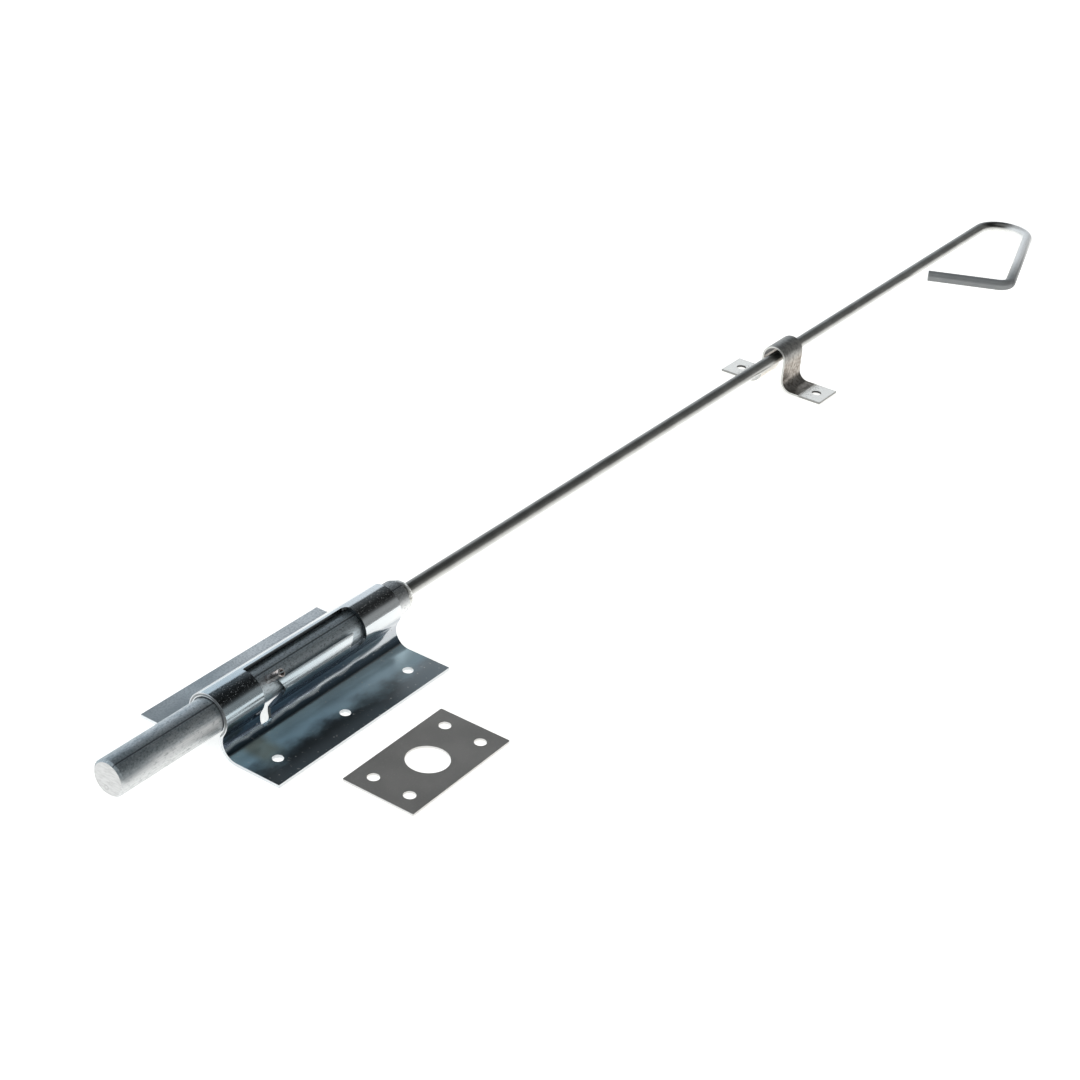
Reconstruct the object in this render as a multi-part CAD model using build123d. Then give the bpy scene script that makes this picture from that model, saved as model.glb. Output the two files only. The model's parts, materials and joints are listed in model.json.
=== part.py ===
from build123d import *
import math
import os

# Drop bolt set: a round bolt slides and turns in a folded sheet housing, a long rod with a hand loop
# lifts it, a strap clip guides the rod, and a floor plate takes the bolt's tip.
# Millimetres. Z = 0 is the mounting face, +X runs along the bolt towards the hand loop, and the origin
# is the middle of the housing's screw pattern. Angles round the bolt's axis are in degrees from the top,
# positive towards the hand loop's side (-Y).

# Bolt
bolt_diameter = 20.0
bolt_length = 217.0
bolt_projection = 68.0
bolt_chamfer = 1.2

# Housing sheet
sheet_thickness = 2.0
bolt_clearance = 0.6
axis_height = 22.0
flange_bend_radius = 9.0
housing_length = 137.0
housing_width = 92.0
screw_hole_diameter = 6.0
screw_pitch = 52.0
screw_row_spacing = 62.0

# Window in the housing's tube, lengths from the housing's front edge
window_start = 27.5
window_end = 107.5
window_far_angle = -12.0
window_rear_corner = 3.5
window_front_corner = 1.5
tongue_start = 39.6
tongue_end = 98.2
tongue_angle = 62.0
hook_angle = 30.0
notch_floor_angle = 108.0
pocket_angle = 97.0
relief_width = 7.8
relief_floor_height = 5.5
notch_corner = 2.0
notch_end_corner = 4.0
sharp_corner = 0.0

# Roll pin
pin_diameter = 4.5
pin_wall = 0.9
pin_slit = 0.7
pin_length = 30.0
pin_reach = 21.8
pin_station = 36.0
pin_hole_clearance = 0.05
pin_running_clearance = 0.3
pin_chamfer = 0.4

# Rod with its hand loop
rod_diameter = 8.0
rod_seat_depth = 15.0
rod_seat_clearance = 0.1
shank_length = 757.5
crown_radius = 20.0
crown_turn = 164.0
side_length = 97.0
knee_radius = 10.0
knee_turn = 81.0
loop_mouth = 9.0

# Weld between rod and bolt
weld_length = 6.0
weld_clearance = 0.3
weld_swell = 1.8

# Guide clip
clip_distance = 442.5
clip_width = 25.0
clip_thickness = 1.5
clip_arch_radius = 7.5
clip_bend_radius = 7.5
clip_span = 78.0
clip_hole_diameter = 6.5
clip_hole_spacing = 60.0

# Strike plate, lying beside the housing
plate_length = 80.0
plate_width = 44.0
plate_thickness = 1.5
plate_corner = 0.8
plate_gap = 19.3
plate_shift = -4.0
strike_clearance = 1.5
plate_hole_diameter = 6.5
plate_hole_pitch = 58.0
plate_hole_row = 22.5

# Sizes worked out from the ones above
bolt_radius = bolt_diameter / 2
rod_radius = rod_diameter / 2
pin_radius = pin_diameter / 2
weld_radius = bolt_radius - bolt_chamfer
tube_inner = bolt_radius + bolt_clearance
tube_outer = tube_inner + sheet_thickness
housing_front = -housing_length / 2
housing_rear = housing_length / 2
bolt_front = housing_front - bolt_projection
bolt_rear = bolt_front + bolt_length
rod_seat = bolt_rear - rod_seat_depth
cut_margin = sheet_thickness

# The pin stands in the window's channel, just clear of the tongue's upper edge
pin_half_angle = math.degrees(math.asin((pin_radius + pin_running_clearance) / tube_inner))
pin_angle = tongue_angle - pin_half_angle


def on_axis(angle=0.0):
    """Place at the bolt's axis, turned round it by an angle from the top."""
    return Pos(0, 0, axis_height) * Rot(X=angle)


def tube_height(angle):
    """Height above the mounting face of the tube's outer surface at an angle from the top."""
    return axis_height + tube_outer * math.cos(math.radians(angle))


def from_front(length):
    """X of a length measured from the housing's front edge."""
    return housing_front + length


def folded_strap(arch_outer, bend_radius, thickness, width):
    """Section across X of a strap arched over the bolt's axis, bent out into two flat feet."""
    bend_height = thickness + bend_radius
    reach = arch_outer + bend_radius
    drop = axis_height - bend_height
    bend_offset = math.sqrt(max(reach**2 - drop**2, 0.0))
    lean = math.degrees(math.asin(drop / reach))
    arch = (0, axis_height)
    edges = [
        CenterArc(arch, arch_outer, -lean, 180 + 2 * lean),
        CenterArc(arch, arch_outer - thickness, -lean, 180 + 2 * lean),
    ]
    for side, tangent in ((1, 180 - lean), (-1, 270)):
        bend = (side * bend_offset, bend_height)
        edges += [
            CenterArc(bend, bend_radius, tangent, 90 + lean),
            CenterArc(bend, bend_radius + thickness, tangent, 90 + lean),
            Polyline(
                (side * bend_offset, thickness),
                (side * width / 2, thickness),
                (side * width / 2, 0),
                (side * bend_offset, 0),
            ),
        ]
    return make_face(edges)


def legged_strap(arch_outer, bend_radius, thickness, width):
    """Section across X of a strap with a half-round arch, upright legs and two flat feet."""
    bend_height = thickness + bend_radius
    arch = (0, axis_height)
    edges = [CenterArc(arch, arch_outer, 0, 180), CenterArc(arch, arch_outer - thickness, 0, 180)]
    for side, tangent in ((1, 180), (-1, 270)):
        bend_offset = side * (arch_outer + bend_radius)
        leg_inner = side * (arch_outer - thickness)
        edges += [
            Line((side * arch_outer, axis_height), (side * arch_outer, bend_height)),
            Line((leg_inner, axis_height), (leg_inner, bend_height)),
            CenterArc((bend_offset, bend_height), bend_radius, tangent, 90),
            CenterArc((bend_offset, bend_height), bend_radius + thickness, tangent, 90),
            Polyline(
                (bend_offset, thickness),
                (side * width / 2, thickness),
                (side * width / 2, 0),
                (bend_offset, 0),
            ),
        ]
    return make_face(edges)


def screw_holes(diameter, depth, spots):
    """Upright cutters for a pattern of screw holes through a sheet that lies on the mounting face."""
    return [Pos(x, y, depth / 2) * Cylinder(diameter / 2, depth + 2 * cut_margin) for x, y in spots]


def window_channel():
    """The wide part of the window: a sector of the tube's wall with rounded far corners."""
    length = window_end - window_start
    middle = from_front((window_start + window_end) / 2)
    wall = Pos(middle, 0, tube_inner + sheet_thickness / 2) * Rot(X=90) * Rectangle(
        length, sheet_thickness + 2 * cut_margin
    )
    sector = revolve(wall, Axis.X, tongue_angle - window_far_angle)
    front, rear = sector.edges().filter_by(Axis.Z).sort_by(Axis.X)
    sector = fillet(rear, window_rear_corner)
    front = sector.edges().filter_by(Axis.Z).sort_by(Axis.X)[0]
    return on_axis(window_far_angle) * fillet(front, window_front_corner)


def side_cutter(outline):
    """Cuts the near wall along -Y by an outline of (length from front, height, corner radius)."""
    points = [(length, height) for length, height, radius in outline]
    face = make_face(Polyline(*points, close=True))
    for length, height, radius in outline:
        if radius > sharp_corner:
            corner = face.vertices().sort_by_distance(Vector(length, height, 0))[0]
            face = fillet(corner, radius)
    depth = tube_outer + flange_bend_radius + cut_margin
    return Pos(housing_front, 0, 0) * extrude(Rot(X=90) * face, depth)


def tongue_hook(angle):
    """How far the tongue's end is cut back under its upper corner, at an angle from the top."""
    return (tube_height(tongue_angle) - tube_height(angle)) * math.tan(math.radians(hook_angle))


def lower_notch():
    """The notch that holds the dropped bolt, with a hooked pocket and a relief down into the bend."""
    top = tube_height(tongue_angle - pin_half_angle)
    pocket_end = tongue_start + tongue_hook(pocket_angle)
    relief_end = window_start + relief_width
    outline = [
        (window_start, top, sharp_corner),
        (tongue_start, top, sharp_corner),
        (tongue_start, tube_height(tongue_angle), sharp_corner),
        (pocket_end, tube_height(pocket_angle), notch_corner),
        (relief_end, tube_height(notch_floor_angle + hook_angle), sharp_corner),
        (relief_end, relief_floor_height, notch_corner),
        (window_start, relief_floor_height, notch_corner),
    ]
    return side_cutter(outline)


def upper_notch():
    """The notch that holds the raised bolt, hooked under the tongue's other end."""
    top = tube_height(tongue_angle - pin_half_angle)
    floor = tube_height(notch_floor_angle)
    outline = [
        (window_end, top, sharp_corner),
        (tongue_end, top, sharp_corner),
        (tongue_end, tube_height(tongue_angle), sharp_corner),
        (tongue_end - tongue_hook(notch_floor_angle), floor, notch_corner),
        (window_end, floor, notch_end_corner),
    ]
    return side_cutter(outline)


def housing():
    """One sheet folded into a tube and two flanges, with the C-shaped window punched in the tube."""
    section = folded_strap(tube_outer, flange_bend_radius, sheet_thickness, housing_width)
    sheet = extrude(Plane.YZ.offset(housing_front) * section, housing_length)
    spots = [(x * screw_pitch, y * screw_row_spacing / 2) for x in (-1, 0, 1) for y in (-1, 1)]
    sheet -= screw_holes(screw_hole_diameter, sheet_thickness, spots)
    return sheet - window_channel() - lower_notch() - upper_notch()


def bolt():
    """Drawn round bar, chamfered at both ends, cross drilled for the pin and bored for the rod."""
    bar = Pos((bolt_front + bolt_rear) / 2, 0, 0) * Rot(Y=90) * Cylinder(bolt_radius, bolt_length)
    bar = chamfer(bar.edges().filter_by(GeomType.CIRCLE), bolt_chamfer)
    seat_radius = rod_radius + rod_seat_clearance
    bar -= Pos((rod_seat + bolt_rear) / 2, 0, 0) * Rot(Y=90) * Cylinder(seat_radius, rod_seat_depth)
    bar -= Pos(from_front(pin_station), 0, 0) * Rot(X=pin_angle) * Cylinder(
        pin_radius + pin_hole_clearance, bolt_diameter + 2 * cut_margin
    )
    return on_axis() * bar


def roll_pin():
    """Hollow spring pin with a slit along it, standing out of the bolt."""
    pin = Cylinder(pin_radius, pin_length)
    pin = chamfer(pin.edges().filter_by(GeomType.CIRCLE), pin_chamfer)
    pin -= Cylinder(pin_radius - pin_wall, pin_length)
    pin -= Pos(pin_radius, 0, 0) * Box(pin_diameter, pin_slit, pin_length)
    return on_axis(pin_angle) * Pos(from_front(pin_station), 0, pin_reach - pin_length / 2) * pin


def rod_handle():
    """One rod: a long shank, a wide crown bend, a slanted side, a knee and a base with a free end."""
    shank = Line((rod_seat, 0), (bolt_rear + shank_length, 0))
    crown = JernArc(shank @ 1, shank % 1, crown_radius, -crown_turn)
    side = PolarLine(crown @ 1, side_length, direction=crown % 1)
    knee = JernArc(side @ 1, side % 1, knee_radius, -knee_turn)
    rise = (knee @ 1).Y + rod_radius + loop_mouth
    base = PolarLine(knee @ 1, -rise / (knee % 1).Y, direction=knee % 1)
    path = Wire([shank, crown, side, knee, base])
    section = Plane(origin=shank @ 0, z_dir=shank % 0) * Circle(rod_radius)
    return on_axis() * sweep(section, path)


def weld_bead():
    """Ring of weld over the flat of the bolt's rear face, swelling round the rod."""
    inner = rod_radius + weld_clearance
    foot = Line((bolt_rear, inner), (bolt_rear, weld_radius))
    swell = SagittaArc(foot @ 1, (bolt_rear + weld_length, inner), weld_swell)
    close = Line(swell @ 1, foot @ 0)
    ring = make_face([foot, swell, close])
    return on_axis() * revolve(ring, Axis.X)


def guide_clip():
    """Bent strap saddle over the rod, with a screw hole in each foot."""
    arch_outer = clip_arch_radius + clip_thickness
    section = legged_strap(arch_outer, clip_bend_radius, clip_thickness, clip_span)
    middle = housing_rear + clip_distance
    strap = extrude(Plane.YZ.offset(middle - clip_width / 2) * section, clip_width)
    spots = [(middle, side * clip_hole_spacing / 2) for side in (-1, 1)]
    return strap - screw_holes(clip_hole_diameter, clip_thickness, spots)


def strike_plate():
    """Flat floor plate with a hole for the bolt's tip and four screw holes."""
    middle_y = -housing_width / 2 - plate_gap - plate_width / 2
    blank = extrude(RectangleRounded(plate_length, plate_width, plate_corner), plate_thickness)
    plate = Pos(plate_shift, middle_y, 0) * blank
    spots = [
        (plate_shift + x * plate_hole_pitch / 2, middle_y + y * plate_hole_row / 2)
        for x in (-1, 1)
        for y in (-1, 1)
    ]
    plate -= screw_holes(plate_hole_diameter, plate_thickness, spots)
    strike = [(plate_shift, middle_y)]
    return plate - screw_holes(bolt_diameter + 2 * strike_clearance, plate_thickness, strike)


os.makedirs("parts", exist_ok=True)
export_step(housing(), "parts/housing.step")
export_step(bolt(), "parts/bolt.step")
export_step(roll_pin(), "parts/roll_pin.step")
export_step(rod_handle(), "parts/rod_handle.step")
export_step(weld_bead(), "parts/weld_bead.step")
export_step(guide_clip(), "parts/guide_clip.step")
export_step(strike_plate(), "parts/strike_plate.step")
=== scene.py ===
import bmesh
import bpy
import json
import math
from mathutils import Matrix, Quaternion, Vector

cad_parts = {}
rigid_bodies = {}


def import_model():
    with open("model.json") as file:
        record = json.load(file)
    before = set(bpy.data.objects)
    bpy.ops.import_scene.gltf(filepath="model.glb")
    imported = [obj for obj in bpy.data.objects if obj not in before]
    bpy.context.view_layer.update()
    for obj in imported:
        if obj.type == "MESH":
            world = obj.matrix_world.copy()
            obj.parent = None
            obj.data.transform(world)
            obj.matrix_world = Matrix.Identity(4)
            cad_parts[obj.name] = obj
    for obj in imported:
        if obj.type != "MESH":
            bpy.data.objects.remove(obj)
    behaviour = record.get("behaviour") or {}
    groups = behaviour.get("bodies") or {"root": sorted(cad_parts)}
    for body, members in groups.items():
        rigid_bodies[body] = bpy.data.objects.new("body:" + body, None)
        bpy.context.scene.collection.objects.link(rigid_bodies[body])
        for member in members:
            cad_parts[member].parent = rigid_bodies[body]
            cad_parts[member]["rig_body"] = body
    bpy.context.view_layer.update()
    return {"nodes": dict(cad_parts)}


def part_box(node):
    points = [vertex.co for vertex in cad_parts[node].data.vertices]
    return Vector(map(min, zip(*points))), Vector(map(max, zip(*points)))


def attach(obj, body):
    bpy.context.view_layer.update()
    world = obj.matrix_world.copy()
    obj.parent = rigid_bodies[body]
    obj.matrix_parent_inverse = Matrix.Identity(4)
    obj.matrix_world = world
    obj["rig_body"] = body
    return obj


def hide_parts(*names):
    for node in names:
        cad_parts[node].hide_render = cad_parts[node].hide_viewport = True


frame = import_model()

# Camera, in metres and degrees
camera_place = Vector((-0.69145, -0.58189, 0.61450))
camera_target = Vector((0.2161, -0.0022, 0.0))
camera_roll = 4.7
camera_lens = 69.52
camera_sensor = 36.0

# Studio
floor_size = 30.0
floor_white = (0.88, 0.88, 0.87, 1.0)
floor_glow = (1.0, 1.0, 0.975, 1.0)
glow_strength = 0.72
sun_strength = 1.0
sun_angle = 150.0
backdrop_white = (1.0, 1.0, 1.0, 1.0)

# Walls of light round the object: elevation in degrees, then the brightness seen there.
# Each wall leans: its elevations are measured from a tilted upright.
far_upright = Vector((0.193, -0.230, 1.0)).normalized()
far_tint = (0.91, 0.99, 1.06)
far_wall = (
    (0, 0.80),
    (20, 0.80),
    (28, 0.86),
    (30.4, 0.86),
    (31.4, 0.52),
    (32.4, 0.33),
    (33.1, 0.20),
    (33.7, 0.06),
    (34.4, 0.040),
    (37, 0.045),
    (41, 0.09),
    (44, 0.11),
    (50, 0.07),
    (54, 0.045),
    (60, 0.012),
    (66, 0.012),
    (76, 0.50),
)
near_upright = Vector((-0.273, -0.292, 1.0)).normalized()
near_tint = (0.98, 1.01, 1.01)
near_wall = (
    (0, 0.27),
    (7, 0.27),
    (13, 0.30),
    (19, 0.32),
    (24.4, 0.29),
    (28, 0.085),
    (30.3, 0.030),
    (34.4, 0.006),
    (40, 0.006),
    (66, 0.006),
    (76, 0.50),
)
wall_seam = (-0.35, 0.35)

# Places on the object, in metres
housing_low, housing_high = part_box("housing")
bolt_low, bolt_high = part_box("bolt")
bolt_axis = (bolt_low + bolt_high) / 2
bolt_radius = (bolt_high.z - bolt_low.z) / 2
tube_radius = housing_high.z - bolt_axis.z
tube_mouth = Vector((housing_low.x, bolt_axis.y, bolt_axis.z))
sheet_top = 0.00205
strap_top = 0.00155
arch_reach = 0.0085
loop_corner = Vector((0.750, -0.066, 0.0))
loop_outward = Vector((0.2775, -0.961, 0.0))

# Edges and meshes
merge_distance = 1e-6
flat_angle = math.radians(0.3)
sharp_angle = math.radians(20)
edge_segments = 2
sheet_rounding = 0.0003
bar_rounding = 0.0002
pin_rounding = 0.0001
rod_rounding = 0.0003
weld_rounding = 0.0003
strap_rounding = 0.0002
plate_rounding = 0.0002
flat_face_weight = 100
ripple_count = 13
ripple_height = 0.00016
ripple_cuts = 2

# Tests for the faces that are marked
end_margin = 0.0004
across_slope = 0.9
upright_slope = 0.5
rim_depth = -0.0044
rim_low = 0.2
rim_high = 0.97
hole_inset = 0.001

# Spans of the sheet's film, and of its painted shade and highlight, along the housing. Every span is where a
# change begins and where it is complete.
film_length = (housing_low.x * 0.85, housing_high.x)
film_rear = (0.012, 0.058)
olive_start = (-0.062, -0.055)
olive_end = (-0.048, -0.040)
far_front = (housing_low.x, housing_low.x + 0.040)
far_rear = (-0.020, 0.010)
ridge_step = (-0.004, 0.012)
rear_bend = (-0.010, 0.030)

# Spans across the housing, of the film and of its painted shade and highlight
outer_wear = (-0.042, -0.028)
teal_border = (-0.037, -0.024)
haze_border = (-0.036, -0.022)
olive_reach = (-0.034, -0.024)
haze_start = (-0.0145, -0.0132)
near_flank = (-0.014, -0.004)
near_skin = (-0.0118, -0.0110)
crown_start = (-0.0094, -0.0076)
crown_end = (-0.0032, -0.0010)
mouth_side = (-0.0045, -0.0010)
near_to_far = (-0.005, 0.005)
far_flank = (0.0050, 0.0072)
flange_start = (0.0128, 0.0145)
far_rim = (0.0355, 0.0405)

# Spans up the housing, of the film and of the painted shade in the bends and on the tube's front end
crease_start = (0.0032, 0.0041)
crease_end = (0.0050, 0.0064)
bend_start = (0.0040, 0.0050)
bend_end = (0.0110, 0.0140)
flat_end = (0.004, 0.010)
hollow_start = (0.0064, 0.0080)
hollow_end = (0.0185, 0.0215)
mouth_height = (0.0190, 0.0230)
streak_start = (0.0206, 0.0222)
streak_end = (0.0232, 0.0252)
crown_height = (0.0300, 0.0325)

# Sizes in the sheet's finish
border_wander = 0.022
ridge_wave = 0.004
ridge_drop = 0.0015
nick_slant = (0.0, 0.0, 0.9)
torn_radius = tube_radius - 0.0010
torn_line = (0.0003, 0.0007)

# Spans and sizes of the bar's finish and of its painted reflection and shade
bar_tip = (bolt_low.x + 0.006, bolt_low.x + 0.030)
bar_mouth = (housing_low.x - 0.005, housing_low.x + 0.010)
bar_rear = (housing_high.x - 0.004, housing_high.x)
bar_belly = (bolt_axis.z - 0.002, bolt_axis.z + 0.006)
bar_flank = (bolt_axis.z - bolt_radius * 0.05, bolt_axis.z + bolt_radius * 0.45)
bar_top = (bolt_axis.z + bolt_radius * 0.3, bolt_axis.z + bolt_radius * 0.7)
die_line_angle = math.radians(22)
die_line_side = Vector((0.0, math.cos(die_line_angle), math.sin(die_line_angle)))
die_line_width = (0.0001, 0.0006)
saw_slant = (0.5, 0.0, 0.0)
centre_mark = Vector((bolt_low.x, 0.001, bolt_axis.z - 0.0052))
centre_mark_radius = 0.0011
centre_mark_width = (0.0002, 0.0006)

# Spans of the rod's finish and of its painted reflection, highlight and shade: its underside, then the
# loop's free leg, its closing side and its outer skin
rod_underside = (bolt_axis.z - 0.0026, bolt_axis.z + 0.0026)
free_leg_reach = (-0.010, -0.008)
free_leg_end = (0.742, 0.765)
loop_side_reach = (-0.024, -0.012)
loop_side_start = (0.748, 0.800)
outer_skin_depth = (0.0014, 0.0034)
outer_skin_reach = (-0.030, -0.024)
outer_skin_start = (0.734, 0.741)
outer_skin_end = (0.775, 0.842)

# Spans of the clip's finish and of its painted light and shade, out from the rod and up from the mounting
# face
far_leg_side = (0.004, 0.007)
foot_start = (0.0215, 0.0235)
dents_end = (0.026, 0.031)
strap_bend = (0.004, 0.010)
far_leg_top = (0.011, 0.015)
inside_height = (0.011, 0.016)
strap_arch = (0.017, 0.025)


def grey(value, cool=0.0):
    """A grey with its red lowered and its blue raised by a share."""
    return (value * (1 - cool), value, value * (1 + cool * 0.6), 1.0)


# Tones of the near flange. A pair holds the two ends of one blend.
teal_tones = ((0.50, 0.76, 0.88, 1.0), (0.60, 0.80, 0.90, 1.0))
outer_tones = (grey(0.16, 0.14), grey(0.46, 0.08))
flange_cloud = grey(0.24, 0.24)
flange_olive = (0.30, 0.34, 0.28, 1.0)

# Tones of the far flange, with its painted shade and highlight
far_front_tones = (grey(0.60, 0.10), grey(0.84, 0.06))
far_rear_rim_highlight_tones = (grey(0.40, 0.08), grey(0.95, 0.03))
far_shade = grey(0.36, 0.10)
far_grain = grey(0.36, 0.12)

# Tones of the tube with its painted shade, and of the painted shade in the bend
tube_tones = (grey(0.72, 0.12), grey(0.91, 0.02))
tube_cloud_tones = (grey(0.60, 0.15), grey(0.82, 0.03))
near_flank_shade = grey(0.40, 0.14)
far_flank_shade = grey(0.30, 0.14)
crown_shade = grey(0.30, 0.06)
bend_shade_tones = ((0.05, 0.09, 0.13, 1.0), (0.09, 0.12, 0.18, 1.0))

# Tones of the sheet's marks and cuts, with painted shade on the window's walls and a painted highlight on
# the rims
mark_pale = (0.84, 0.85, 0.82, 1.0)
cut_pale_and_shade_tones = (grey(0.92, 0.03), grey(0.13, 0.08))
torn_dark = grey(0.16, 0.06)
window_wall_shade = grey(0.07, 0.12)
rim_highlight_pale = grey(0.94, 0.03)

# Tones of the bar, with its painted reflections and shade
bar_inside_tones = (grey(0.70, 0.10), grey(0.82, 0.09))
bar_outside_tones = (grey(0.66, 0.01), grey(0.78, 0.01))
bar_rear_reflection_and_shade = (grey(0.98), grey(0.46, 0.02))
speckle_dark = grey(0.38, 0.06)
blotch_dark = grey(0.30, 0.18)
tip_upper_shade = grey(0.22, 0.14)
top_blue_reflection = grey(0.76, 0.12)
fleck_dark = grey(0.20, 0.16)
fleck_pale = grey(0.96, 0.04)
die_line_dark = (0.10, 0.11, 0.13, 1.0)
sawn_tones = (grey(0.70), grey(0.58))
centre_mark_dark = grey(0.34)

# Tones of the rod, with its painted reflection, highlight and shade
rod_tones = ((0.29, 0.285, 0.27, 1.0), (0.38, 0.375, 0.355, 1.0))
rod_underside_reflection = (0.92, 0.92, 0.90, 1.0)
free_leg_tones = (grey(0.28, 0.03), grey(0.40, 0.03))
free_leg_under_shade = grey(0.13, 0.03)
loop_side_highlight = (0.95, 0.95, 0.94, 1.0)
outer_skin_shade = grey(0.16, 0.02)
pit_dark = (0.26, 0.26, 0.25, 1.0)

# Tones of the weld and the pin
weld_tones = ((0.84, 0.84, 0.82, 1.0), (0.62, 0.61, 0.57, 1.0))
weld_speck = (0.20, 0.19, 0.16, 1.0)
pin_tones = ((0.48, 0.42, 0.40, 1.0), (0.74, 0.69, 0.67, 1.0))

# Tones of the clip, with its painted light and shade
arch_tones = ((0.26, 0.25, 0.24, 1.0), (0.40, 0.39, 0.37, 1.0))
strap_leg_tones = ((0.25, 0.21, 0.175, 1.0), (0.56, 0.51, 0.46, 1.0))
strap_bend_shade_tones = ((0.14, 0.125, 0.11, 1.0), (0.30, 0.275, 0.25, 1.0))
foot_tones = ((0.95, 0.90, 0.84, 1.0), (0.99, 0.95, 0.89, 1.0))
dent_grey = (0.46, 0.46, 0.45, 1.0)
arch_inside_shade = (0.05, 0.05, 0.05, 1.0)
strap_cut_tones = ((0.60, 0.60, 0.58, 1.0), (0.30, 0.30, 0.29, 1.0))
hole_wall_shade = (0.08, 0.08, 0.08, 1.0)

# Tones of the plate
plate_tones = ((0.43, 0.40, 0.37, 1.0), (0.50, 0.465, 0.43, 1.0))
plate_grain = (0.70, 0.66, 0.62, 1.0)
plate_cut = (0.84, 0.83, 0.81, 1.0)


class Socket:
    """A shader value in an expression: each operator adds the Math node that works it out."""

    def __init__(self, nodes, socket):
        self.nodes = nodes
        self.socket = socket

    def other(self, output):
        return Socket(self.nodes, self.socket.node.outputs[output])

    def __add__(self, value):
        return self.nodes.maths("ADD", self, value)

    def __sub__(self, value):
        return self.nodes.maths("SUBTRACT", self, value)

    def __rsub__(self, value):
        return self.nodes.maths("SUBTRACT", value, self)

    def __mul__(self, value):
        return self.nodes.maths("MULTIPLY", self, value)

    def __abs__(self):
        return self.nodes.maths("ABSOLUTE", self, 0.0)

    __radd__ = __add__
    __rmul__ = __mul__


class Nodes:
    """The shader nodes of one finish, or of the studio's walls."""

    def __init__(self, owner):
        owner.use_nodes = True
        self.tree = owner.node_tree
        self.tree.nodes.clear()

    def node(self, kind, settings=None, sockets=None, output=0):
        """Adds a node: its settings first, then the values or links of its sockets."""
        made = self.tree.nodes.new(kind)
        for name, value in (settings or {}).items():
            if name == "stops":
                self.set_stops(made.color_ramp.elements, value)
            else:
                setattr(made, name, value)
        for name, value in (sockets or {}).items():
            if isinstance(value, Socket):
                self.tree.links.new(value.socket, made.inputs[name])
            else:
                made.inputs[name].default_value = value
        return Socket(self, made.outputs[output]) if made.outputs else None

    def set_stops(self, elements, stops):
        while len(elements) < len(stops):
            elements.new(1.0)
        for element, (position, colour) in zip(elements, stops):
            element.position = position
            element.color = (*colour, 1.0)

    def maths(self, operation, first, second):
        return self.node("ShaderNodeMath", {"operation": operation}, {0: first, 1: second})

    def place(self):
        return self.node("ShaderNodeTexCoord", output="Object")

    def stretched(self, place, scale, turn=(0.0, 0.0, 0.0)):
        return self.node("ShaderNodeMapping", sockets={"Vector": place, "Scale": scale, "Rotation": turn})

    def noise(self, place, scale, detail=2.0, rough=0.5):
        """Noise with so many bumps to a metre: one number for every direction, or one for each axis."""
        if isinstance(scale, tuple):
            place = self.stretched(place, scale)
            scale = 1.0
        sockets = {"Vector": place, "Scale": scale, "Detail": detail, "Roughness": rough}
        return self.node("ShaderNodeTexNoise", sockets=sockets)

    def cells(self, place, scale):
        return self.node("ShaderNodeTexVoronoi", sockets={"Vector": place, "Scale": scale})

    def split(self, place):
        """The X, Y and Z of a place."""
        parts = self.node("ShaderNodeSeparateXYZ", sockets={"Vector": place})
        return parts.other("X"), parts.other("Y"), parts.other("Z")

    def along(self, place, direction):
        """How far a place lies along a direction."""
        sockets = {0: place, 1: direction}
        return self.node("ShaderNodeVectorMath", {"operation": "DOT_PRODUCT"}, sockets, output="Value")

    def distance(self, place, spot):
        sockets = {0: place, 1: spot}
        return self.node("ShaderNodeVectorMath", {"operation": "DISTANCE"}, sockets, output="Value")

    def mark(self, name):
        """1 on the faces that were marked with the name, 0 elsewhere."""
        return self.node("ShaderNodeAttribute", {"attribute_name": name}, output="Fac")

    def past(self, value, span):
        """Rises smoothly from 0 to 1 as the value goes through a span."""
        low, high = span
        settings = {"interpolation_type": "SMOOTHSTEP"}
        return self.node("ShaderNodeMapRange", settings, {"Value": value, 1: low, 2: high, 3: 0.0, 4: 1.0})

    def before(self, value, span):
        """Falls smoothly from 1 to 0 as the value goes through a span."""
        return 1.0 - self.past(value, span)

    def within(self, value, start, end):
        """Rises from 0 to 1 through one span and falls back to 0 through a later one."""
        return self.past(value, start) * self.before(value, end)

    def blend(self, factor, first, second):
        settings = {"data_type": "RGBA"}
        return self.node("ShaderNodeMix", settings, {"Factor": factor, 6: first, 7: second}, output=2)

    def bump(self, height, strength, distance):
        sockets = {"Height": height, "Strength": strength, "Distance": distance}
        return self.node("ShaderNodeBump", sockets=sockets)


def metal(name, build):
    """A metal finish: a function of the place gives its colour, roughness, normal and share of metal."""
    material = bpy.data.materials.new(name)
    nodes = Nodes(material)
    colour, roughness, normal, metallic = build(nodes, nodes.place())
    sockets = {"Base Color": colour, "Roughness": roughness, "Normal": normal, "Metallic": metallic}
    shader = nodes.node("ShaderNodeBsdfPrincipled", sockets=sockets)
    nodes.node("ShaderNodeOutputMaterial", sockets={"Surface": shader})
    return material


def near_flange_film(nodes, place, border, clouds):
    """Colour of the near flange: teal up to a wandering border, dark outside it, olive beside one hole."""
    x, y = nodes.split(place)[:2]
    inner = nodes.blend(nodes.past(x, film_length), *teal_tones)
    outer = nodes.blend(nodes.past(x, film_rear), *outer_tones)
    colour = nodes.blend(nodes.past(border, teal_border), outer, inner)
    colour = nodes.blend(clouds * 0.30, colour, flange_cloud)
    olive = nodes.within(x, olive_start, olive_end) * nodes.past(y, olive_reach)
    return nodes.blend(olive * 0.75, colour, flange_olive)


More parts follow.
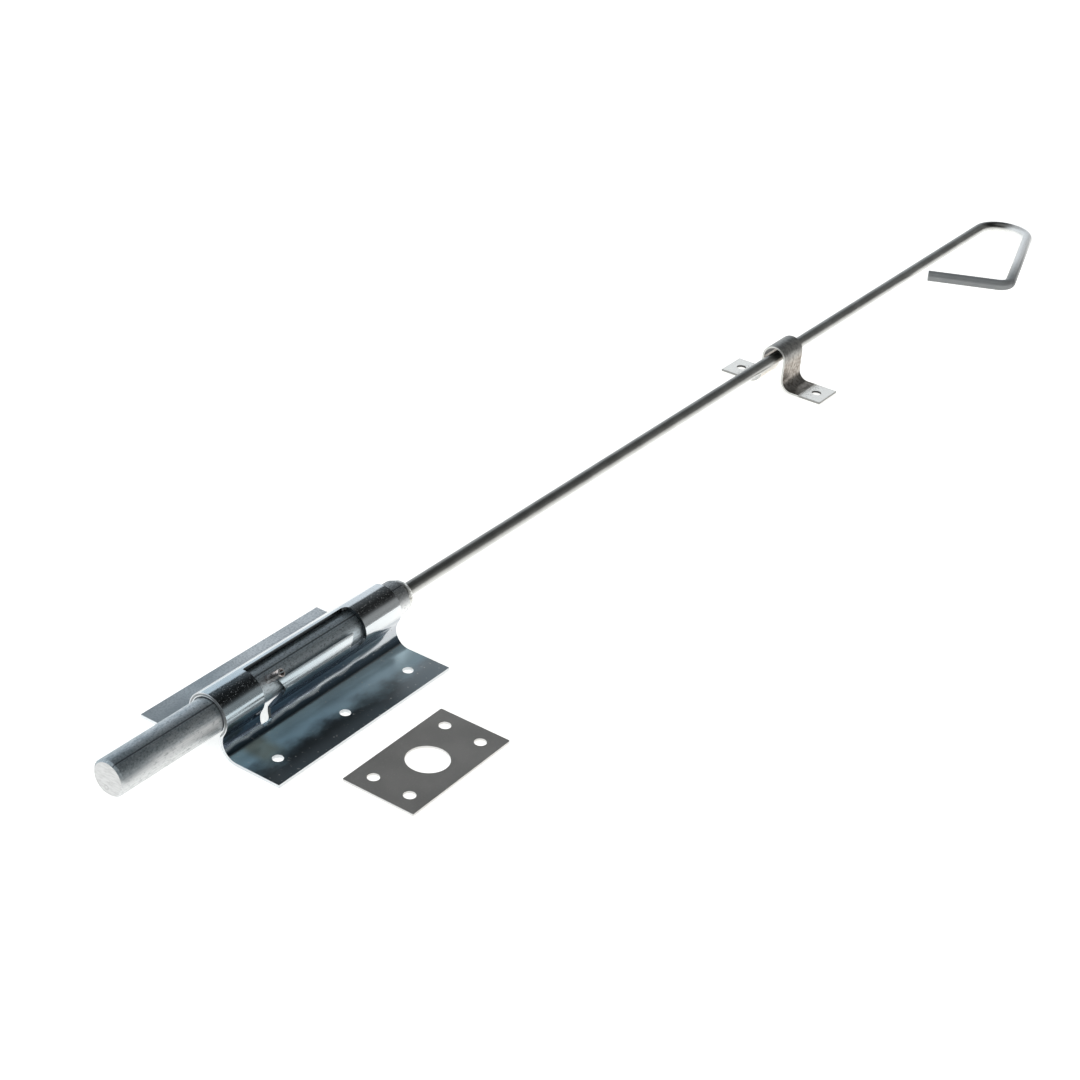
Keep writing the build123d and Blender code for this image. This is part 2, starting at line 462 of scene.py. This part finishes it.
def far_flange_film(nodes, place, clouds):
    """Colour of the far flange: pale and grainy, with painted shade at the front and a painted highlight
    along its rim at the rear.
    """
    x, y = nodes.split(place)[:2]
    front = nodes.blend(clouds, *far_front_tones)
    # Painted highlight along the far flange's rim at the rear
    rear = nodes.blend(nodes.past(y, far_rim), *far_rear_rim_highlight_tones)
    colour = nodes.blend(nodes.past(x, far_rear), front, rear)
    # Painted shade at the front of the far flange
    colour = nodes.blend(nodes.before(x, far_front) * 0.5, colour, far_shade)
    grainy = nodes.past(nodes.noise(place, 900.0, 3.0), (0.46, 0.60))
    return nodes.blend(grainy * 0.35, colour, far_grain)


def tube_film(nodes, place, clouds):
    """Colour of the tube: blue at its front, nearly clear at its rear, with painted shade on its flanks and
    a painted dark reflection along its crown.
    """
    x, y = nodes.split(place)[:2]
    to_rear = nodes.past(x, film_length)
    to_front = 1.0 - to_rear
    clear = nodes.blend(to_rear, *tube_tones)
    cloudy = nodes.blend(to_rear, *tube_cloud_tones)
    colour = nodes.blend(clouds, cloudy, clear)
    # Painted shade on the front of the tube's near and far flanks, and a painted dark reflection along its
    # crown
    lit = nodes.past(y, near_flank) * to_front
    colour = nodes.blend((1.0 - lit) * to_front * 0.35, colour, near_flank_shade)
    far_side = nodes.past(y, far_flank) * to_front
    colour = nodes.blend(far_side * 0.75, colour, far_flank_shade)
    crown = nodes.within(y, crown_start, crown_end)
    return nodes.blend(crown * (0.30 + to_rear * 0.25), colour, crown_shade)


def bend_shade(nodes, place):
    """Painted shade along the bends: the dark crease, the dark hollow above it, and how far they darken the
    film.
    """
    x, z = nodes.split(place)[::2]
    wave = nodes.noise(place, (70.0, 10.0, 10.0), 1.0) - 0.5
    height = z + wave * ridge_wave - nodes.past(x, ridge_step) * ridge_drop
    crease = nodes.past(z, crease_start) * nodes.before(height, crease_end)
    hollow = nodes.past(height, hollow_start) * nodes.before(z, hollow_end)
    dark = crease * 0.94 + hollow * (0.82 - nodes.past(x, film_rear) * 0.36) * (1.0 - crease)
    on_bend = nodes.within(z, bend_start, bend_end) * nodes.past(x, rear_bend)
    return crease, hollow, nodes.maths("MAXIMUM", dark, on_bend * 0.46)


def film_haze(nodes, place, border, crease):
    """How hazy the film is: on the near flange, and in a streak along the tube's near side."""
    x, y, z = nodes.split(place)
    at_rear = nodes.past(x, film_rear)
    streak = nodes.within(z, streak_start, streak_end) * nodes.before(y, near_skin) * (1.0 - at_rear)
    on_flange = nodes.before(y, haze_start) * nodes.past(border, haze_border)
    return on_flange * (0.45 - at_rear * 0.10) * (1.0 - crease) + streak * 0.5


def sheet_film(nodes, place):
    """Colour of the housing's blue film with its painted shade in the bends, and how hazy it is."""
    y = nodes.split(place)[1]
    clouds = nodes.past(nodes.noise(place, (22.0, 48.0, 48.0)), (0.36, 0.64))
    wander = nodes.noise(place, (48.0, 70.0, 70.0), 3.0, 0.6) - 0.5
    border = y + wander * border_wander
    near = near_flange_film(nodes, place, border, clouds)
    far = far_flange_film(nodes, place, clouds)
    flanges = nodes.blend(nodes.past(y, near_to_far), near, far)
    colour = nodes.blend(nodes.past(abs(y), flange_start), tube_film(nodes, place, clouds), flanges)
    crease, hollow, dark = bend_shade(nodes, place)
    # Painted shade: the crease and the hollow along the bends are darkened
    colour = nodes.blend(dark, colour, nodes.blend(hollow, *bend_shade_tones))
    return colour, film_haze(nodes, place, border, crease)


def sheet_marks(nodes, place):
    """Specks and slanted nicks in patches and by the near flange's edge, and fine specks on the crown."""
    y, z = nodes.split(place)[1:]
    patches = nodes.past(nodes.noise(place, 50.0), (0.44, 0.62))
    worn = patches * 0.7 + nodes.before(y, outer_wear) * 0.6
    specks = nodes.before(nodes.cells(place, 300.0), (0.08, 0.17)) * worn
    slanted = nodes.stretched(place, (1.0, 1.0, 1.0), nick_slant)
    nicks = nodes.past(nodes.noise(slanted, (260.0, 1500.0, 1500.0), 1.0), (0.72, 0.77)) * worn
    fine = nodes.past(nodes.noise(place, 1400.0), (0.60, 0.68)) * nodes.past(z, crown_height) * 0.5
    return nodes.maths("MINIMUM", specks + nicks + fine, 1.0)


def sheet_cut(nodes, place):
    """Colour of the sheet's cut edges: pale as bare steel and paler still as a painted reflection, with
    painted shade and a torn line on the tube's front end.
    """
    y, z = nodes.split(place)[1:]
    torn = nodes.before(abs(nodes.distance(place, tube_mouth) - torn_radius), torn_line)
    # Painted shade on the upper near part of the tube's front end
    shaded = nodes.before(y, mouth_side) * nodes.past(z, mouth_height)
    edge = nodes.blend(shaded * 0.85, *cut_pale_and_shade_tones)
    return nodes.blend(torn * 0.8, edge, torn_dark)


def sheet_zinc(nodes, place):
    """Bright blue zinc on sheet: wavy, with pale marks, matt cut edges, painted shade on the window's walls
    and a painted highlight on the rims.
    """
    colour, haze = sheet_film(nodes, place)
    grain = nodes.noise(place, (160.0, 1800.0, 1800.0))
    waves = nodes.noise(place, (45.0, 30.0, 30.0), 0.0)
    marks = sheet_marks(nodes, place)
    colour = nodes.blend(marks * 0.7, colour, mark_pale)
    sheared = nodes.mark("sheared")
    colour = nodes.blend(sheared, colour, sheet_cut(nodes, place))
    # Painted shade: the window's cut walls are made nearly black
    colour = nodes.blend(nodes.mark("punched"), colour, window_wall_shade)
    # A painted highlight along the rounded rims, also standing for bright worn edges
    worn_rim = nodes.mark("worn_rim")
    colour = nodes.blend(worn_rim, colour, rim_highlight_pale)
    flat = nodes.before(nodes.split(place)[2], flat_end)
    roughness = 0.15 + flat * 0.14 + grain * 0.02
    normal = nodes.bump(waves * 5.0 + marks * 0.2, 0.12, 0.0004)
    return colour, roughness, normal, 1.0 - haze - sheared * 0.7 - marks * 0.6 - worn_rim * 0.5


def bar_tone(nodes, place, drawn, speckle):
    """Colour of the bar: blue in the tube, grey outside it, blotched by the tip; a painted reflection makes
    it white below at the rear, with painted shade above, and it has painted shade and a painted bluish
    reflection on its upper side by the tip.
    """
    x, z = nodes.split(place)[::2]
    to_tip = nodes.before(x, bar_mouth)
    inside = nodes.blend(drawn, *bar_inside_tones)
    outside = nodes.blend(drawn, *bar_outside_tones)
    colour = nodes.blend(to_tip, inside, outside)
    # Painted reflection of the floor below the bar's rear, painted shade above it
    rear = nodes.blend(nodes.past(z, bar_belly), *bar_rear_reflection_and_shade)
    colour = nodes.blend(nodes.past(x, bar_rear), colour, rear)
    colour = nodes.blend(speckle * 0.5, colour, speckle_dark)
    blotch = nodes.past(nodes.noise(place, (120.0, 260.0, 260.0), 3.0, 0.6), (0.45, 0.60))
    top = nodes.past(z, bar_top)
    colour = nodes.blend(to_tip * blotch * top * 0.6, colour, blotch_dark)
    # Painted shade on the upper side by the tip, and a painted bluish reflection on the upper side outside
    # the tube
    by_end = nodes.before(x, bar_tip) * nodes.past(z, bar_flank)
    colour = nodes.blend(by_end * 0.7, colour, tip_upper_shade)
    colour = nodes.blend(to_tip * top * 0.5, colour, top_blue_reflection)
    fleck = nodes.noise(place, (900.0, 1200.0, 1200.0), 2.0, 0.6)
    colour = nodes.blend(nodes.past(fleck, (0.53, 0.66)) * top * 0.45, colour, fleck_dark)
    return nodes.blend(nodes.before(fleck, (0.34, 0.46)) * top * 0.4, colour, fleck_pale)


def bar_zinc(nodes, place):
    """Zinc on drawn bar: long drawing lines, one of them deep, and sawn ends, one with a centre mark."""
    lines = nodes.noise(place, (6.0, 1300.0, 1300.0), 3.0)
    speckle = nodes.past(nodes.noise(place, (500.0, 900.0, 900.0), 3.0, 0.6), (0.52, 0.68))
    colour = bar_tone(nodes, place, nodes.past(lines, (0.3, 0.7)), speckle)
    from_line = abs(nodes.along(place, die_line_side) - die_line_side.dot(bolt_axis))
    die_line = nodes.before(from_line, die_line_width)
    colour = nodes.blend(die_line * 0.8, colour, die_line_dark)
    sawn = nodes.mark("sheared")
    saw = nodes.noise(nodes.stretched(place, (900.0, 220.0, 1100.0), saw_slant), 1.0, 4.0, 0.65)
    colour = nodes.blend(sawn, colour, nodes.blend(nodes.past(saw, (0.40, 0.66)), *sawn_tones))
    ring = nodes.before(abs(nodes.distance(place, centre_mark) - centre_mark_radius), centre_mark_width)
    colour = nodes.blend(ring * 0.35, colour, centre_mark_dark)
    roughness = 0.44 + lines * 0.08 + speckle * 0.12
    relief = lines - speckle * 0.6 + saw * sawn * 1.2 - die_line - ring * 3.0
    return colour, roughness, nodes.bump(relief, 0.18, 0.0003), 1.0


def rod_zinc(nodes, place):
    """Zinc on drawn rod, dull and finely pitted: a painted reflection makes it pale below, a painted
    highlight makes the loop's side pale, and painted shade makes it dark outside that side and below the
    free leg.
    """
    x, y, z = nodes.split(place)
    lines = nodes.noise(place, (40.0, 1500.0, 1500.0))
    clouds = nodes.noise(place, 60.0, 3.0)
    pits = nodes.past(nodes.noise(place, 1300.0), (0.60, 0.72))
    colour = nodes.blend(nodes.past(clouds, (0.35, 0.65)), *rod_tones)
    # Painted reflection: the rod's lower half is made pale
    below = nodes.before(z, rod_underside)
    colour = nodes.blend(below * 0.85, colour, rod_underside_reflection)
    free_leg = nodes.before(y, free_leg_reach) * nodes.before(x, free_leg_end)
    colour = nodes.blend(free_leg, colour, nodes.blend(clouds, *free_leg_tones))
    # Painted shade under the loop's free leg
    colour = nodes.blend(free_leg * below * 0.6, colour, free_leg_under_shade)
    # Painted highlight: the loop's closing side is made nearly white
    loop_side = nodes.before(y, loop_side_reach) * nodes.past(x, loop_side_start)
    colour = nodes.blend(loop_side, colour, loop_side_highlight)
    # Painted shade on the outer skin of the loop's closing side
    outward = nodes.along(place, loop_outward) - loop_outward.dot(loop_corner)
    outer_skin = nodes.past(outward, outer_skin_depth) * nodes.before(x, outer_skin_end)
    outer_skin = outer_skin * nodes.before(y, outer_skin_reach) * nodes.past(x, outer_skin_start)
    colour = nodes.blend(outer_skin * 0.9, colour, outer_skin_shade)
    colour = nodes.blend(pits * 0.5, colour, pit_dark)
    roughness = 0.30 + lines * 0.06 + pits * 0.05 + free_leg * 0.11
    normal = nodes.bump(lines * 0.6 - pits * 0.5, 0.12, 0.0003)
    return colour, roughness, normal, 1.0 - loop_side * 0.65 - free_leg * 0.55


def weld_zinc(nodes, place):
    """Plated weld metal: pale, with dark specks between its ripples."""
    ripple = nodes.noise(place, 900.0, 3.0)
    specks = nodes.past(nodes.noise(place, 520.0), (0.56, 0.66))
    colour = nodes.blend(nodes.past(ripple, (0.4, 0.7)), *weld_tones)
    colour = nodes.blend(specks * 0.7, colour, weld_speck)
    roughness = 0.28 + ripple * 0.15
    return colour, roughness, nodes.bump(ripple - specks * 0.5, 0.25, 0.0004), 1.0


def pin_steel(nodes, place):
    """Browned spring steel, cloudy and smooth."""
    film = nodes.noise(place, 500.0, 3.0)
    colour = nodes.blend(nodes.past(film, (0.35, 0.65)), *pin_tones)
    roughness = 0.22 + film * 0.12
    return colour, roughness, nodes.bump(film, 0.10, 0.0002), 1.0


def strap_tone(nodes, place, tone):
    """Colour of the strap between its feet: dark over the arch, brown on the legs, darkest in the bends with
    painted shade.
    """
    z = nodes.split(place)[2]
    # Painted shade in the strap's lower bends
    bend = nodes.blend(tone, *strap_bend_shade_tones)
    leg = nodes.blend(nodes.past(z, strap_bend), bend, nodes.blend(tone, *strap_leg_tones))
    return nodes.blend(nodes.past(z, strap_arch), leg, nodes.blend(tone, *arch_tones))


def strap_zinc(nodes, place):
    """Zinc on strap: mottled over the arch and legs, pale with dents on the feet; painted light makes the
    far leg pale, and painted shade darkens the inside of the arch and the holes' walls.
    """
    y, z = nodes.split(place)[1:]
    mottle = nodes.noise(place, 420.0, 4.0, 0.6)
    tone = nodes.past(mottle, (0.36, 0.62))
    dents = nodes.before(nodes.cells(place, 620.0), (0.16, 0.34))
    on_foot = nodes.past(abs(y), foot_start)
    off_foot = 1.0 - on_foot
    dented = dents * on_foot * nodes.before(abs(y), dents_end)
    foot = nodes.blend(dented * 0.6, nodes.blend(tone, *foot_tones), dent_grey)
    # Painted light: the far leg is given the pale colour of the feet
    far_leg = nodes.past(y, far_leg_side) * nodes.before(z, far_leg_top)
    pale = nodes.maths("MAXIMUM", on_foot, far_leg)
    colour = nodes.blend(pale, strap_tone(nodes, place, tone), foot)
    # Painted shade inside the arch
    inside = nodes.mark("inside") * nodes.past(z, inside_height)
    colour = nodes.blend(inside, colour, arch_inside_shade)
    sheared = nodes.mark("sheared")
    colour = nodes.blend(sheared, colour, nodes.blend(on_foot, *strap_cut_tones))
    # Painted shadow on the walls of the clip's holes
    colour = nodes.blend(nodes.mark("punched"), colour, hole_wall_shade)
    roughness = (0.28 + mottle * 0.16) * (1.0 - on_foot * 0.7)
    normal = nodes.bump(mottle * off_foot + dents * 0.4 * off_foot - dented, 0.20, 0.0004)
    return colour, roughness, normal, 1.0 - far_leg * off_foot * 0.7 - on_foot * (1.0 - sheared) * 0.2


def plate_zinc(nodes, place):
    """Matt grey zinc on the floor plate, even and fine grained, with pale sheared edges."""
    grain = nodes.noise(place, (700.0, 1500.0, 1500.0), 3.0)
    clouds = nodes.noise(place, 40.0, 3.0)
    colour = nodes.blend(nodes.past(clouds, (0.3, 0.7)), *plate_tones)
    colour = nodes.blend(nodes.past(grain, (0.55, 0.75)) * 0.3, colour, plate_grain)
    sheared = nodes.mark("sheared")
    colour = nodes.blend(sheared, colour, plate_cut)
    roughness = 0.36 + grain * 0.12
    return colour, roughness, nodes.bump(grain, 0.15, 0.0003), 1.0 - sheared * 0.6


def add_object(name, data):
    """Puts a finished mesh, a light or a camera in the scene, at the origin."""
    made = bpy.data.objects.new(name, data)
    bpy.context.scene.collection.objects.link(made)
    return made


def node_shape(node, rounding):
    """A node's form as a bmesh, with its sharp edges rounded over."""
    shape = bmesh.new()
    shape.from_mesh(frame["nodes"][node].data)
    bmesh.ops.remove_doubles(shape, verts=shape.verts, dist=merge_distance)
    bmesh.ops.dissolve_limit(shape, angle_limit=flat_angle, verts=shape.verts, edges=shape.edges)
    sharp = [edge for edge in shape.edges if edge.calc_face_angle(0.0) > sharp_angle]
    bmesh.ops.bevel(
        shape, geom=sharp, offset=rounding, segments=edge_segments, profile=0.5, affect="EDGES",
        clamp_overlap=True, material=-1,
    )
    return shape


def mark_faces(shape, name, chosen):
    """Marks the faces whose place and normal a test picks out."""
    layer = shape.faces.layers.float.new(name)
    for face in shape.faces:
        face[layer] = float(chosen(face.calc_center_median(), face.normal))


def from_axis(place):
    """The way straight out from the bolt's axis to a place."""
    return Vector((0.0, place.y - bolt_axis.y, place.z - bolt_axis.z))


def sheared_sheet(place, normal):
    """The housing's outer edges and its screw holes' walls."""
    at_end = abs(place.x) > housing_high.x - end_margin
    upright = place.z < sheet_top and abs(normal.z) < upright_slope
    return at_end and abs(normal.x) > across_slope or upright


def punched_sheet(place, normal):
    """The cut walls of the housing's window that face down, along or towards the near side."""
    if place.z < sheet_top or abs(place.x) > housing_high.x - end_margin:
        return False
    outward = from_axis(place)
    on_tube = outward.length < tube_radius + end_margin
    sideways = abs(normal.dot(outward.normalized())) < upright_slope and normal.z < upright_slope
    return abs(normal.x) > across_slope or on_tube and sideways


def highlighted_rim(place, normal):
    """The rounded outer edges of the tube's ends and of its window, which get a painted highlight."""
    outward = from_axis(place)
    on_tube = abs(outward.length - tube_radius) < end_margin and outward.z > rim_depth
    return on_tube and rim_low < normal.dot(outward.normalized()) < rim_high


def sawn_end(place, normal):
    """A bar's end faces."""
    return abs(normal.x) > across_slope


def sheared_strap(place, normal):
    """A strap's or a plate's edges and holes' walls."""
    return abs(normal.x) > across_slope or place.z < strap_top and abs(normal.z) < upright_slope


def punched_hole(node):
    """A test for the walls of a strap's holes, which lie away from its edges."""
    low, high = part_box(node)

    def chosen(place, normal):
        inset = min(place.x - low.x, high.x - place.x, place.y - low.y, high.y - place.y)
        return inset > hole_inset and place.z < strap_top and abs(normal.z) < upright_slope

    return chosen


def arch_inside(place, normal):
    """The clip's faces that look at the rod, which get painted shade."""
    outward = from_axis(place)
    return outward.length < arch_reach and normal.dot(outward.normalized()) < -upright_slope


def add_ripples(shape):
    """Swells and narrows the weld in even ripples round the rod."""
    bmesh.ops.subdivide_edges(shape, edges=shape.edges, cuts=ripple_cuts, use_grid_fill=True)
    shape.normal_update()
    for vertex in shape.verts:
        turn = math.atan2(vertex.co.y, vertex.co.z - bolt_axis.z)
        swell = max(vertex.normal.x, 0.0) * (1 + math.cos(ripple_count * turn)) / 2
        vertex.co -= vertex.normal * swell * ripple_height


def finished_piece(name, node, shape, material):
    """Makes the shape a piece that stands for its node and moves with the node's body."""
    mesh = bpy.data.meshes.new(name)
    for face in shape.faces:
        face.smooth = True
        face.material_index = 0
    shape.to_mesh(mesh)
    shape.free()
    if "custom_normal" in mesh.attributes:
        mesh.attributes.remove(mesh.attributes["custom_normal"])
    piece = add_object(name, mesh)
    mesh.materials.append(material)
    weighted = piece.modifiers.new("even_normals", "WEIGHTED_NORMAL")
    weighted.weight = flat_face_weight
    weighted.keep_sharp = False
    source = frame["nodes"][node]
    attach(piece, source["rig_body"])
    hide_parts(node)


def folded_housing():
    shape = node_shape("housing", sheet_rounding)
    mark_faces(shape, "sheared", sheared_sheet)
    mark_faces(shape, "punched", punched_sheet)
    mark_faces(shape, "worn_rim", highlighted_rim)
    finished_piece("folded_housing", "housing", shape, metal("bright_sheet_zinc", sheet_zinc))


def round_bolt():
    shape = node_shape("bolt", bar_rounding)
    mark_faces(shape, "sheared", sawn_end)
    finished_piece("round_bolt", "bolt", shape, metal("drawn_bar_zinc", bar_zinc))


def slit_pin():
    shape = node_shape("roll_pin", pin_rounding)
    finished_piece("slit_pin", "roll_pin", shape, metal("browned_pin_steel", pin_steel))


def bent_rod():
    shape = node_shape("rod_handle", rod_rounding)
    finished_piece("bent_rod", "rod_handle", shape, metal("drawn_rod_zinc", rod_zinc))


def rod_weld():
    shape = node_shape("weld_bead", weld_rounding)
    add_ripples(shape)
    finished_piece("rod_weld", "weld_bead", shape, metal("plated_weld", weld_zinc))


def strap_clip():
    shape = node_shape("guide_clip", strap_rounding)
    mark_faces(shape, "sheared", sheared_strap)
    mark_faces(shape, "punched", punched_hole("guide_clip"))
    mark_faces(shape, "inside", arch_inside)
    finished_piece("strap_clip", "guide_clip", shape, metal("dull_strap_zinc", strap_zinc))


def floor_plate():
    shape = node_shape("strike_plate", plate_rounding)
    mark_faces(shape, "sheared", sheared_strap)
    finished_piece("floor_plate", "strike_plate", shape, metal("matt_plate_zinc", plate_zinc))


def camera():
    """The camera at the photograph's viewing angle."""
    data = bpy.data.cameras.new("camera")
    data.sensor_fit = "HORIZONTAL"
    data.sensor_width = camera_sensor
    data.lens = camera_lens
    view = add_object("camera", data)
    look = (camera_target - camera_place).to_track_quat("-Z", "Y")
    turn = look @ Quaternion((0, 0, 1), math.radians(camera_roll))
    view.matrix_world = Matrix.LocRotScale(camera_place, turn, None)
    bpy.context.scene.camera = view


def floor():
    """A plain white floor that glows a little, so that it stays white under the object."""
    shape = bmesh.new()
    bmesh.ops.create_grid(shape, x_segments=1, y_segments=1, size=floor_size / 2)
    mesh = bpy.data.meshes.new("floor")
    shape.to_mesh(mesh)
    shape.free()
    material = bpy.data.materials.new("floor_white")
    nodes = Nodes(material)
    white = nodes.node("ShaderNodeBsdfDiffuse", sockets={"Color": floor_white})
    glow = nodes.node("ShaderNodeEmission", sockets={"Color": floor_glow, "Strength": glow_strength})
    both = nodes.node("ShaderNodeAddShader", sockets={0: white, 1: glow})
    nodes.node("ShaderNodeOutputMaterial", sockets={"Surface": both})
    mesh.materials.append(material)
    add_object("floor", mesh)


def wall(nodes, direction, upright, tint, stops):
    """Colour of a leaning wall of light in the direction that is looked in."""
    heights = []
    for elevation, shade in stops:
        heights.append((math.sin(math.radians(elevation)), [shade * share for share in tint]))
    height = nodes.along(direction, upright)
    return nodes.node("ShaderNodeValToRGB", {"stops": heights}, {"Fac": height}, "Color")


def studio():
    """Pale walls under a dark ceiling that is lit at its top, and a soft light that metal doesn't mirror."""
    world = bpy.data.worlds.new("studio")
    bpy.context.scene.world = world
    nodes = Nodes(world)
    direction = nodes.node("ShaderNodeTexCoord", output="Generated")
    side = nodes.past(nodes.split(direction)[1], wall_seam)
    near = wall(nodes, direction, near_upright, near_tint, near_wall)
    far = wall(nodes, direction, far_upright, far_tint, far_wall)
    walls = nodes.node("ShaderNodeBackground", sockets={"Color": nodes.blend(side, near, far)})
    plain = nodes.node("ShaderNodeBackground", sockets={"Color": backdrop_white})
    seen = nodes.node("ShaderNodeLightPath", output="Is Camera Ray")
    both = nodes.node("ShaderNodeMixShader", sockets={0: seen, 1: walls, 2: plain})
    nodes.node("ShaderNodeOutputWorld", sockets={"Surface": both})
    sun = bpy.data.lights.new("soft_sky", "SUN")
    sun.energy = sun_strength
    sun.angle = math.radians(sun_angle)
    lamp = add_object("soft_sky", sun)
    lamp.visible_glossy = False
    bpy.context.scene.view_settings.view_transform = "Standard"


camera()
floor()
studio()
folded_housing()
round_bolt()
slit_pin()
bent_rod()
rod_weld()
strap_clip()
floor_plate()
